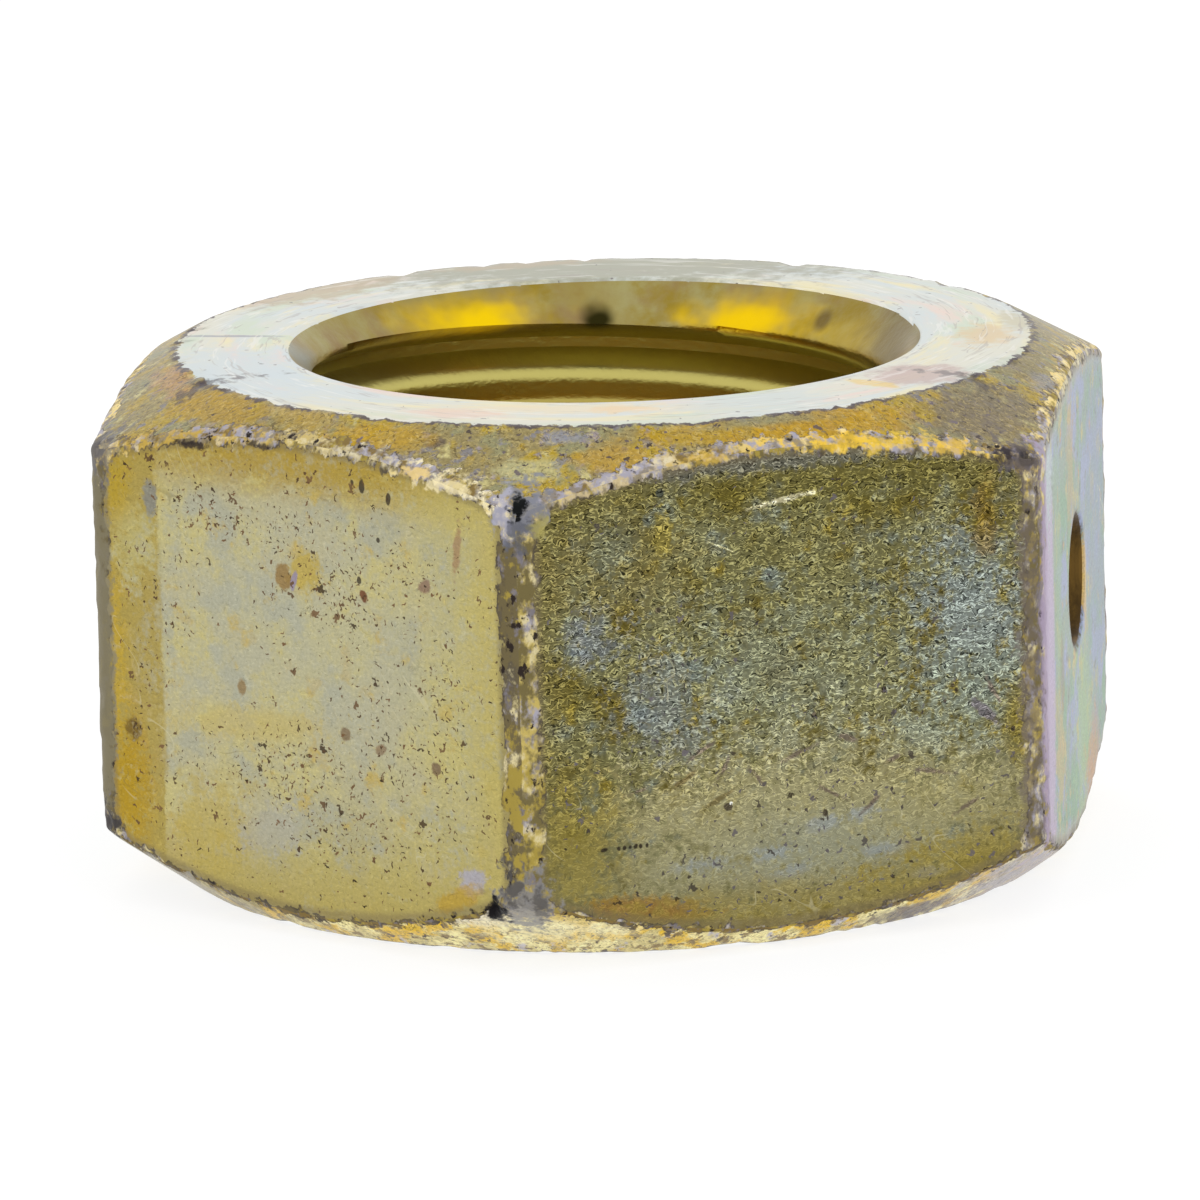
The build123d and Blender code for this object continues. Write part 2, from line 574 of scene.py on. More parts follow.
def parted(vector):
    """A vector's three parts, or a colour's."""
    return feed("SeparateXYZ", {0: vector}, (0, 1, 2))


def turned(vector, angle):
    """A vector turned about Z."""
    return feed("VectorRotate", {"Vector": vector, "Angle": angle}, 0, rotation_type="Z_AXIS")


def fade(value, start, end):
    """0 up to the start and 1 from the end on, smoothly, in whichever order they come."""
    return feed("MapRange", {"Value": value, "From Min": start, "From Max": end}, 0,
                interpolation_type="SMOOTHSTEP")


def cover(under, over, share):
    """One colour laid over another. Each comes from a node, or is given as a screen shows it."""
    under, over = (colour if isinstance(colour, Value) else screen(*colour) for colour in (under, over))
    return feed("Mix", {0: share, 6: under, 7: over}, 2, data_type="RGBA")


def cloud(vector, size, detail=2.0, seed=0.0, dimensions="2D"):
    """Noise of a given size, about 0.5 in the middle: its value and its colour."""
    inputs = {"Vector": vector + seed, "Scale": 1 / size, "Detail": detail, "Roughness": 0.6}
    return feed("TexNoise", inputs, ("Fac", "Color"), noise_dimensions=dimensions)


def swing(vector, size, reach, seed):
    """A vector pushed about at random, by up to about a quarter of the reach each way."""
    return vector + (cloud(vector, size, 1.0, seed)[1] - 0.5) * reach


def new_group(name, **inputs):
    """An empty shader node group with its inputs' defaults, and what they bring."""
    group = bpy.data.node_groups.new(name, "ShaderNodeTree")
    for label, default in inputs.items():
        kind = {1: "Float", 3: "Vector", 4: "Color"}[np.size(default)]
        socket = group.interface.new_socket(
            label.replace("_", " "), in_out="INPUT", socket_type="NodeSocket" + kind)
        socket.default_value = default
    start = group.nodes.new("NodeGroupInput")
    return group, [Value(start.outputs[place]) for place in range(len(inputs))]


def put_out(group, **made):
    """What a group gives: colours, and masks or other values."""
    for label, value in made.items():
        kind = "Color" if value.socket.type == "RGBA" else "Float"
        group.interface.new_socket(label, in_out="OUTPUT", socket_type="NodeSocket" + kind)
    end = group.nodes.new("NodeGroupOutput")
    for label, value in made.items():
        group.links.new(value.socket, end.inputs[label])


nowhere = (0.0, 0.0, 0.0)

film_patches, (vector, size, share, softness, seed) = new_group(
    "film_patches", Vector=nowhere, Size=3.0, Share=0.5, Softness=0.05, Seed=0.0)
level = share * -0.5 + 0.75
put_out(film_patches, Mask=fade(cloud(vector, size, 5.0, seed)[0], level - softness, level + softness))

specks, (vector, spacing, size, share, stretch, seed) = new_group(
    "specks", Vector=nowhere, Spacing=1.0, Size=0.12, Share=0.5, Stretch=1.5, Seed=0.0)
vector = swing(vector, 0.16, size * 3.0, seed) + seed
colours, middle = feed("TexVoronoi", {"Vector": vector, "Scale": 1 / spacing}, ("Color", "Position"),
                       voronoi_dimensions="2D")
chance, breadth, tone = parted(colours)
from_middle = length(turned(vector - middle, tone * 6.28) * joined(1.0, stretch))
speck_radius = size * (breadth * 1.2 + 0.5)
inside = fade(from_middle, speck_radius * 1.2, speck_radius * 0.7)
put_out(specks, Mask=inside * calc("LESS_THAN", chance, share), Tone=tone)

hairlines, (vector, line_length, spacing, width, tilt, share, seed) = new_group(
    "hairlines", Vector=nowhere, Length=6.0, Spacing=0.8, Width=0.03, Tilt=0.0, Share=0.4, Seed=0.0)
drawn = turned(vector, tilt * -1.0) / joined(line_length, spacing, 1.0)
crest = calc("ABSOLUTE", cloud(drawn, 1.0, 1.0, seed)[0] - 0.5)
line_width = width / (spacing * 2.2)
line = fade(crest, line_width * 1.6, line_width * 0.5)
level = share * -0.5 + 0.75
there = fade(cloud(drawn, 1.7, 2.0, seed + 7.3)[0], level - 0.03, level + 0.03)
put_out(hairlines, Mask=line * there)

# Each stroke is a light line with a dark line beside it: painted highlight and painted shade of a raised
# stroke.
curls, (vector, curl_length, width, share, seed) = new_group(
    "curls", Vector=nowhere, Length=0.38, Width=0.12, Share=0.5, Seed=0.0)
drawn = swing(vector, curl_length, curl_length * 0.8, seed) / joined(curl_length, width, 1.0)
height, colours = cloud(drawn, 1.0, 2.0, seed)
light_chance, dark_chance = parted(colours)[1:]
level = share * -0.4 + 0.7
light, dark = (
    fade(calc("ABSOLUTE", height - crest), 0.05, 0.01) * fade(chance, level - 0.08, level + 0.05)
    for crest, chance in ((0.5, light_chance), (0.43, dark_chance))
)
put_out(curls, Light=light, Dark=dark, Height=height)

worn_edge_and_glint, (vector, gap, width, raggedness, bright_share, film, piece, seed) = new_group(
    "worn_edge_and_glint", Vector=nowhere, Gap=1.0, Width=0.3, Raggedness=0.5, Bright_Share=0.5,
    Body=screen(124, 112, 96), Piece=screen(250, 236, 178), Seed=0.0)
middling, colours = cloud(vector, 0.45, 3.0, seed, "3D")
hue = parted(colours)
broad = parted(cloud(vector, 2.4, 1.0, seed, "3D")[1])
shine, colours = cloud(vector, 0.42, 5.0, seed, "3D")
shade = parted(colours)
gap = (middling - 0.5) * (raggedness * 2.0) + gap
crust = cover(film, (140, 134, 138), fade(hue[1], 0.52, 0.64))
crust = cover(crust, (104, 96, 82), fade(shade[0], 0.5, 0.62))
crust = cover(crust, (178, 158, 78), fade(broad[0] * 0.5 + shade[1], 0.76, 0.86))
# The bright pieces are partly worn metal and partly painted highlights on the rounded edge, with a
# near-white painted glint over some.
bright = cover((182, 178, 190), piece, fade(broad[1] * 0.7 + hue[2], 0.74, 0.9))
bright = cover(bright, (150, 140, 124), fade(shade[1], 0.5, 0.38) * 0.8)
bright = cover(bright, cover(piece, (255, 250, 226), 0.4), fade(shade[0], 0.54, 0.68))
level = bright_share * -0.6 + (broad[2] * -0.5 + 1.05)
crust = cover(crust, bright, fade(shine, level - 0.1, level + 0.06))
crust = cover(crust, (88, 80, 72), fade(gap, width - 0.12, width) * fade(shade[2], 0.42, 0.56))
crust = cover(crust, (58, 50, 46), fade(shade[2], 0.4, 0.34))
put_out(worn_edge_and_glint, Mask=fade(gap, width + 0.03, width - 0.03), Color=crust)

stain, (vector, place, size, tilt, softness, uneven) = new_group(
    "stain", Vector=nowhere, Place=nowhere, Size=(1.0, 1.0, 1.0), Tilt=0.0, Softness=0.15, Uneven=0.0)
distance = length(turned(vector - place, tilt * -1.0) / size) + uneven
put_out(stain, Mask=fade(distance, 1 + softness, 1 - softness))


def effect(group, **inputs):
    """One of the groups above, placed in a material, and what it puts out."""
    inputs = {label.replace("_", " "): value for label, value in inputs.items()}
    labels = [item.name for item in group.interface.items_tree if item.in_out == "OUTPUT"]
    made = feed("Group", inputs, tuple(labels), node_tree=group)
    return made[0] if len(made) == 1 else made


def nut_place(tree, rotation=(0, 0, 0)):
    """The place on the nut in millimetres, in axes that are turned as given."""
    place = Value(add_node(tree, "TexCoord").outputs["Object"])
    return feed("Mapping", {"Vector": place, "Rotation": rotation, "Scale": (mm,) * 3}, 0,
                vector_type="TEXTURE")


def attribute(tree, name):
    """One of the mesh's own distances."""
    return Value(add_node(tree, "Attribute", attribute_name=name).outputs["Fac"])


def lay_patches(colour, place, patches, seed):
    """Film patches over a colour: each has its colour, size, share and softness."""
    for step, (patch_colour, size, share, softness) in enumerate(patches):
        mask = effect(film_patches, Vector=place, Size=size, Share=share, Softness=softness,
                      Seed=seed + 11.0 * step)
        colour = cover(colour, patch_colour, mask)
    return colour


def lay_stains(colour, place, stains, uneven):
    """Stains over a colour: colour, place, half size, tilt in degrees, softness and strength."""
    for stain_colour, middle, size, tilt, softness, strength in stains:
        mask = effect(stain, Vector=place, Place=middle, Size=size, Tilt=math.radians(tilt),
                      Softness=softness, Uneven=uneven * (4.0 * softness))
        colour = cover(colour, stain_colour, mask * strength)
    return colour


def lay_specks(colour, place, speck_colours, sizes, seed, crowds=()):
    """Specks over a colour. They crowd at random and in the given middles and half sizes; each
    size has its spacing, radius, stretch, share and strength."""
    crowd = fade(cloud(place, 2.6, 2.0, seed + 5.0)[0], 0.4, 0.62) * (0.4 if crowds else 1.0)
    uneven = (cloud(place, 0.9, 3.0, seed)[0] - 0.5) * 2.5
    for middle, size in crowds:
        here = effect(stain, Vector=place, Place=middle, Size=size, Softness=0.5, Uneven=uneven)
        crowd = calc("MAXIMUM", crowd, here)
    for spacing, size, stretch, share, strength in sizes:
        mask, tone = effect(specks, Vector=place, Spacing=spacing, Size=size, Share=crowd * share,
                            Stretch=stretch, Seed=seed + spacing)
        colour = cover(colour, cover(*speck_colours, tone), mask * strength)
    return colour


def round_stain(colour, angle, distance, up, size, softness, strength):
    """A stain placed by its bearing in degrees, its distance from the thread axis and its height."""
    turn = math.radians(angle)
    middle = (distance * math.cos(turn), distance * math.sin(turn), up)
    return colour, middle, size, angle, softness, strength


def finish_surface(out, colour, height, bump, roughness=0.36, rubbed=None):
    """The metal itself: coloured, a little rough, with its relief."""
    normal = feed("Bump", {"Height": height, "Distance": bump * mm, "Strength": 1.0}, "Normal")
    if rubbed:
        roughness = rubbed * 0.2 + roughness
    metal = feed("BsdfPrincipled", {"Base Color": colour, "Metallic": 1.0, "Roughness": roughness,
                                    "Normal": normal}, "BSDF")
    out.id_data.links.new(metal.socket, out.inputs["Surface"])


# Wear at the corners and along the arcs, with painted highlights. Dents hold dark dirt with a slate
# bloom round it, and the worst rubbed places are lilac. The cream patches by the left arc and the
# gold ones along the right arc are painted highlights on the worn edge. Each has its colour,
# bearing in degrees, distance from the axis, height, half width and half height, softness and strength.
corner_wear_and_highlights = (
    ((140, 142, 152), -89.4, 16.3, 13.85, 0.62, 0.72, 0.4, 0.9),
    ((190, 188, 204), -91.4, 16.3, 13.8, 0.22, 0.55, 0.3, 0.7),
    ((176, 166, 96), -87.8, 16.3, 13.4, 0.22, 0.3, 0.4, 0.8),
    ((104, 106, 116), -89.6, 16.3, 13.1, 0.3, 0.5, 0.4, 0.7),
    ((30, 32, 32), -89.9, 16.3, 13.97, 0.26, 0.28, 0.3, 1.0),
    ((148, 146, 146), -90.2, 16.3, 2.0, 0.8, 1.1, 0.3, 0.9),
    ((92, 88, 84), -91.3, 16.3, 2.7, 0.3, 0.6, 0.6, 0.8),
    ((86, 82, 78), -88.6, 16.3, 2.1, 0.2, 0.5, 0.5, 0.7),
    ((30, 28, 30), -93.4, 16.2, 1.85, 0.36, 0.42, 0.3, 1.0),
    ((142, 134, 108), -150.2, 16.3, 8.0, 0.72, 6.8, 0.15, 0.9),
    ((66, 62, 66), -150.0, 16.4, 2.5, 0.5, 0.6, 0.4, 0.9),
    ((110, 108, 116), -149.5, 16.3, 13.9, 0.6, 0.6, 0.4, 0.7),
    ((96, 90, 100), -31.5, 16.3, 13.9, 0.55, 0.5, 0.4, 0.8),
    ((40, 38, 38), -31.0, 16.3, 13.95, 0.2, 0.25, 0.3, 0.8),
    ((184, 168, 192), -28.3, 16.3, 7.6, 0.42, 6.0, 0.25, 0.85),
    ((122, 112, 106), -31.2, 16.3, 8.5, 0.3, 6.5, 0.6, 0.6),
    # painted highlights: cream on the left arc
    ((255, 240, 190), -98.6, 15.36, 14.42, 0.8, 0.2, 0.4, 0.7),
    ((250, 222, 150), -102.6, 15.0, 14.62, 0.5, 0.14, 0.4, 0.8),
    # painted highlights: gold along the right arc
    ((246, 206, 72), -52.0, 14.43, 14.97, 0.8, 0.16, 0.5, 0.65),
    ((250, 214, 84), -45.5, 14.76, 14.8, 1.0, 0.2, 0.5, 0.65),
    ((246, 208, 92), -39.0, 15.29, 14.5, 0.6, 0.16, 0.5, 0.65),
    ((232, 196, 84), -69.0, 14.46, 14.95, 0.6, 0.14, 0.6, 0.6),
    ((58, 50, 48), -136.0, 14.86, 14.5, 0.6, 0.09, 0.6, 0.9),
    ((64, 56, 54), -126.0, 14.37, 14.76, 0.5, 0.08, 0.6, 0.8),
    ((60, 54, 58), -33.5, 15.9, 14.1, 0.4, 0.12, 0.6, 0.85),
    ((70, 64, 70), -24.0, 13.0, 15.6, 0.3, 0.3, 0.4, 0.6),
    ((76, 66, 74), -147.0, 13.1, 15.5, 0.5, 0.3, 0.4, 0.7),
)


def lay_wear_and_highlights(colour, place, seed):
    """The dirt and the chips at the dented corners and along the arcs, with ragged edges, and the painted
    highlights on the arcs.
    """
    ragged = (cloud(place, 0.35, 3.0, seed, "3D")[0] - 0.5) * 2.6
    return lay_stains(colour, place, [
        round_stain(wear_and_highlight_colour, angle, distance, up, (2.0, half_width, half_height), softness, strength)
        for wear_and_highlight_colour, angle, distance, up, half_width, half_height, softness, strength in corner_wear_and_highlights
    ], ragged)


# The six flats. Wrench jaws and tumbling have left each with its own film: khaki, olive with
# curled strokes, or pale mint. Their tones are partly that film and partly painted light: the
# olive look is darkened as painted shade, the khaki look is paled as a painted reflection of a
# bright softbox, and the mint look is paled as a painted reflection of the bright background
# at a grazing angle.
violet, lilac, amber = (150, 140, 160), (172, 170, 190), (186, 152, 52)
rust, soot, dark = (146, 108, 48), (52, 46, 38), (66, 58, 48)

khaki_and_reflection_look = {
    "base": (184, 178, 144),
    "patches": (
        # colour, size, share, softness
        ((194, 184, 128), 3.2, 0.5, 0.1),
        ((174, 172, 148), 2.2, 0.35, 0.08),
        ((190, 170, 104), 1.3, 0.2, 0.06),
    ),
    # colour, and width in from the edges
    "border": ((182, 162, 88), 2.2),
    # fine light and dark grain, as a share of the strokes' strength
    "grain": 0.85,
    # curled strokes, painted as highlight and shade lines: factor of the light ones and of the dark ones,
    # share and strength
    "strokes": (1.3, 0.6, 0.4, 0.45),
    # the two colours that specks lie between, and their sizes as lay_specks takes them
    "speck": ((58, 48, 38), (122, 92, 64)),
    "sizes": ((0.8, 0.12, 2.4, 0.8, 0.9), (0.36, 0.066, 3.0, 0.95, 0.95), (0.22, 0.036, 2.4, 0.95, 0.9)),
    # bright share at the arcs and at the corners, body and piece
    "crust": (0.6, 0.2, (124, 112, 80), (246, 226, 158)),
}
olive_and_shade_look = {
    "base": (108, 104, 66),
    "patches": (
        ((116, 114, 80), 2.8, 0.5, 0.14),
        ((108, 116, 108), 1.5, 0.26, 0.1),
        ((98, 88, 40), 2.0, 0.34, 0.1),
        ((126, 112, 48), 1.2, 0.16, 0.08),
    ),
    "border": ((112, 104, 62), 1.5),
    "grain": 1.4,
    "strokes": (3.0, 0.2, 0.9, 0.8),
    "speck": ((52, 44, 34), (110, 104, 110)),
    "sizes": ((0.8, 0.09, 2.2, 0.8, 0.85), (0.34, 0.05, 2.6, 0.9, 0.9)),
    "crust": (0.56, 0.42, (128, 116, 76), (230, 210, 130)),
}
mint_and_reflection_look = {
    "base": (144, 162, 146),
    "patches": (
        ((128, 164, 132), 3.0, 0.5, 0.08),
        ((150, 160, 188), 2.4, 0.42, 0.08),
        ((186, 176, 112), 1.6, 0.26, 0.06),
        ((190, 148, 100), 1.0, 0.14, 0.05),
        ((118, 126, 112), 0.7, 0.16, 0.05),
    ),
    "border": ((176, 172, 158), 0.8),
    "grain": 2.0,
    "strokes": (1.5, 0.75, 0.4, 0.4),
    "speck": ((110, 100, 84), violet),
    "sizes": ((1.1, 0.08, 1.8, 0.5, 0.7),),
    "crust": (0.6, 0.4, (150, 140, 140), (226, 216, 180)),
}

# Stains of each flat: colour, place along and up, half size along and up, tilt in degrees,
# softness and strength. The three flats in front have the most.
marked_stains = (
    ((182, 164, 190), -8.2, 8.0, 2.5, 9.0, 0, 0.12, 0.95),
    ((126, 142, 122), -5.5, 9.5, 0.22, 4.5, 0, 0.9, 0.6),
    ((142, 170, 136), -4.9, 9.0, 0.9, 5.0, 0, 0.5, 0.7),
    ((176, 194, 190), -7.4, 13.2, 1.4, 1.6, 0, 0.5, 0.8),
    ((158, 186, 130), 1.6, 3.6, 2.2, 2.6, 10, 0.5, 0.7),
    ((186, 160, 110), -1.4, 12.2, 0.9, 2.0, 0, 0.5, 0.6),
    ((204, 142, 84), 3.6, 1.8, 1.6, 1.3, 30, 0.4, 0.7),
    ((196, 168, 104), -4.6, 4.2, 1.0, 1.8, 10, 0.5, 0.6),
    ((140, 120, 80), -4.0, 6.4, 0.5, 1.1, 0, 0.3, 0.5),
    ((138, 152, 172), 5.2, 9.0, 2.6, 5.0, 0, 0.6, 0.7),
    # dark gold round the punch mark: partly its film, partly painted shade in the hollow
    ((86, 64, 32), -0.1, mark_height, 2.14, 2.14, 0, 0.04, 0.8),
    ((206, 172, 96), 2.05, 7.9, 0.4, 1.5, 0, 0.3, 0.8),
)
far_marked_stains = (
    ((150, 190, 150), 3.0, 3.0, 4.0, 2.5, 10, 0.5, 0.5),
    ((204, 160, 100), -4.0, 12.0, 2.0, 1.5, 20, 0.4, 0.6),
    # dark gold round the punch mark: partly its film, partly painted shade in the hollow
    ((96, 70, 34), -0.1, mark_height, 2.14, 2.14, 0, 0.04, 0.8),
)
khaki_stains_and_reflection_edge = (
    # gold strip whose straight inner edge is where the painted softbox reflection on the khaki ends
    ((170, 150, 78), -8.2, 8.5, 2.72, 20.0, 0, 0.03, 0.9),
    ((178, 144, 34), -7.1, 3.7, 0.95, 2.4, 0, 0.6, 0.85),
    ((190, 160, 56), -7.4, 8.0, 0.5, 2.6, 0, 0.6, 0.8),
    ((186, 176, 116), -6.5, 11.3, 0.9, 1.1, 0, 0.6, 0.8),
    ((180, 152, 48), -7.3, 13.0, 0.7, 1.0, 0, 0.6, 0.8),
    ((130, 132, 130), -5.8, 12.7, 0.28, 0.55, 0, 0.3, 0.8),
    ((108, 86, 44), -6.8, 5.56, 0.3, 0.33, 0, 0.3, 0.8),
    ((170, 142, 54), 0.2, 14.6, 6.4, 1.1, 0, 0.5, 0.75),
    ((192, 180, 110), 7.5, 9.0, 3.2, 12.0, 0, 0.5, 0.6),
    ((180, 166, 98), 2.0, 0.8, 7.0, 3.0, 0, 0.6, 0.65),
    ((178, 178, 158), 0.2, 8.8, 4.6, 3.6, 0, 0.8, 0.5),
    ((194, 176, 104), -2.2, 6.3, 2.9, 0.5, 4, 0.5, 0.6),
    ((186, 166, 86), -3.7, 3.0, 1.6, 1.2, 20, 0.5, 0.6),
    ((172, 172, 164), -1.2, 3.3, 1.2, 0.7, 20, 0.5, 0.6),
    ((188, 162, 58), 0.3, 11.2, 0.65, 0.62, 20, 0.4, 0.75),
    ((150, 122, 74), -0.65, 10.93, 0.3, 0.42, 0, 0.2, 0.9),
    (violet, -0.24, 10.85, 0.1, 0.3, -15, 0.2, 0.9),
    ((146, 122, 82), -2.4, 7.4, 0.17, 0.24, 0, 0.2, 0.85),
    ((126, 104, 78), 1.6, 6.5, 0.18, 0.2, 0, 0.2, 0.8),
    ((140, 118, 92), 2.95, 6.2, 0.2, 0.15, 20, 0.2, 0.8),
    ((116, 92, 74), 5.05, 5.9, 0.2, 0.2, 0, 0.2, 0.8),
    ((112, 66, 44), 2.45, 10.75, 0.14, 0.2, 30, 0.2, 0.9),
    ((136, 106, 92), 4.8, 11.3, 0.24, 0.2, 0, 0.25, 0.8),
    ((160, 124, 92), 6.05, 12.5, 0.12, 0.75, -8, 0.4, 0.7),
    (lilac, 6.3, 2.7, 0.5, 0.34, 20, 0.35, 0.75),
    (amber, 5.7, 2.1, 0.9, 0.3, 25, 0.3, 0.7),
    *((dark, along, up, half_along, half_up, 0, 0.2, 0.9) for along, up, half_along, half_up in (
        (2.14, 14.1, 0.08, 0.1), (2.5, 14.05, 0.1, 0.2), (3.5, 13.75, 0.09, 0.16), (3.07, 12.49, 0.07, 0.08),
        (2.3, 11.2, 0.09, 0.12))),
)
olive_stains = (
    ((150, 144, 106), 0.9, 3.4, 7.6, 3.0, 4, 0.5, 0.8),
    ((146, 148, 128), 1.4, 3.2, 3.6, 1.6, 0, 0.9, 0.7),
    ((112, 120, 116), 6.2, 9.2, 1.7, 2.4, 0, 0.9, 0.8),
    ((130, 138, 132), 6.0, 9.4, 0.9, 1.2, 0, 0.9, 0.7),
    ((132, 140, 122), 5.6, 6.8, 1.8, 1.0, 20, 0.9, 0.6),
    ((160, 152, 108), -2.5, 4.6, 3.0, 1.2, 6, 0.7, 0.5),
    ((158, 148, 96), 4.0, 4.2, 3.0, 1.0, -6, 0.7, 0.5),
    ((112, 102, 60), -5.2, 12.0, 2.2, 1.6, 0, 0.5, 0.6),
    ((108, 114, 98), -5.3, 12.6, 0.5, 0.8, 0, 0.9, 0.6),
    ((104, 112, 122), -5.9, 9.8, 0.7, 0.6, 20, 0.9, 0.6),
    ((106, 112, 116), -3.7, 7.8, 1.1, 1.3, 20, 0.9, 0.6),
    ((96, 88, 38), 1.5, 14.0, 6.0, 0.9, 0, 0.8, 0.6),
    ((126, 134, 118), -0.6, 8.4, 2.4, 1.8, -10, 0.8, 0.4),
    ((130, 118, 58), -3.68, 12.9, 0.26, 0.75, 0, 0.3, 0.8),
    ((110, 90, 34), 6.4, 12.3, 0.34, 1.0, 0, 0.5, 0.7),
    ((128, 114, 48), 7.4, 6.1, 0.45, 1.0, 0, 0.5, 0.8),
    ((138, 124, 56), -6.5, 3.9, 1.1, 1.7, 10, 0.8, 0.75),
    ((144, 128, 54), 5.5, 2.1, 2.2, 0.8, 6, 0.8, 0.7),
    (rust, -4.4, 1.7, 1.9, 0.4, -8, 0.3, 0.7),
    *((soot, along, 3.65, half_along, 0.07, tilt, 0.3, 0.95) for along, half_along, tilt in (
        (-5.72, 0.13, 10), (-5.28, 0.07, 0), (-5.1, 0.08, 60), (-4.93, 0.07, -50), (-4.76, 0.08, 40),
        (-4.6, 0.06, 0), (-4.4, 0.05, 0))),
    ((108, 94, 58), -3.2, 5.47, 0.4, 0.08, 32, 0.4, 0.8),
    ((104, 92, 56), -2.2, 4.74, 0.58, 0.08, 28, 0.4, 0.8),
    ((112, 104, 112), 6.3, 6.5, 0.6, 0.16, -42, 0.3, 0.75),
    (dark, -1.85, 4.52, 0.14, 0.12, 0, 0.2, 0.9),
    ((240, 240, 226), -1.75, 4.62, 0.05, 0.05, 0, 0.2, 0.9),
    *(((142, 150, 154), along, up, 0.5, 0.16, 5, 0.9, 0.6) for along, up in (
        (1.3, 3.7), (2.3, 3.9), (0.1, 2.4), (4.4, 1.85), (-0.4, 3.0), (2.9, 2.7), (-2.6, 2.9))),
    *((dark, along, up, 0.08, 0.1, 0, 0.3, 0.9) for along, up in (
        (0.9, 7.0), (3.1, 7.5), (5.3, 7.4), (5.4, 7.25), (-7.5, 6.2), (7.2, 5.9), (1.2, 4.0),
        (-3.9, 10.6))),
    *(((104, 90, 80), along, up, half_along, 0.06, tilt, 0.7, 0.8)
      for along, up, half_along, tilt in (
          (-2.6, 6.3, 0.4, 30), (-2.0, 5.6, 0.3, 60), (1.4, 4.6, 0.5, -30), (3.4, 5.4, 0.3, 20),
          (6.6, 7.1, 0.5, -60), (0.4, 5.9, 0.4, 20), (1.9, 6.2, 0.3, -20), (-0.9, 5.3, 0.3, -50),
          (2.6, 4.1, 0.3, 40), (4.6, 4.9, 0.4, -10), (-4.6, 5.3, 0.3, 15), (5.6, 3.7, 0.3, 30))),
    ((46, 50, 46), -3.75, 14.05, 0.13, 0.13, 0, 0.2, 0.9),
    # a thin painted glint
    ((196, 188, 150), 0.05, 13.48, 0.8, 0.06, 9, 0.6, 0.85),
    ((206, 200, 150), -1.95, 12.3, 0.5, 0.03, -25, 0.3, 0.7),
    ((96, 98, 98), -0.6, 14.75, 6.6, 0.4, 0, 0.4, 0.6),
    ((140, 124, 54), 0.0, 1.2, 8.0, 0.9, 2, 0.6, 0.6),
)

# Where specks crowd on the two flats in front: along and up, half size along and up.
khaki_crowds = (
    (-3.5, 12.5, 2.1, 0.6), (-0.6, 12.2, 1.7, 0.7), (1.4, 10.6, 1.3, 1.3), (4.2, 11.7, 0.9, 0.7),
    (5.5, 8.2, 0.7, 1.5), (-0.7, 5.1, 2.1, 1.2), (4.0, 6.0, 1.5, 0.9), (1.4, 3.6, 2.1, 1.2))
olive_crowds = (
    (0.3, 3.6, 1.2, 1.3), (6.8, 4.1, 0.9, 1.3), (3.3, 6.6, 1.4, 0.5), (-3.4, 6.6, 0.8, 0.6),
    (-2.9, 2.8, 1.2, 0.8), (3.4, 2.6, 1.6, 0.8), (-0.2, 1.9, 6.9, 0.6), (1.6, 4.6, 2.6, 0.7),
    (-6.6, 5.4, 0.7, 1.2))

# Tints of the worn pieces round the upper edge, the cream one at -98 degrees and the gold one at -47 being
# painted highlights on the arcs: colour, bearing and half size round.
crust_and_highlight_tints = [
    round_stain(colour, angle, 15.0, 14.2, (4.0, around, 3.0), 0.5, 0.9)
    for colour, angle, around in (
        ((255, 244, 208), -98.0, 1.8), ((216, 204, 168), -112.0, 2.2), ((212, 190, 118), -124.0, 2.0),
        ((204, 172, 76), -138.0, 3.0), ((214, 196, 156), -78.0, 2.4), ((228, 206, 140), -66.0, 1.5),
        ((250, 212, 76), -47.0, 4.2))
]

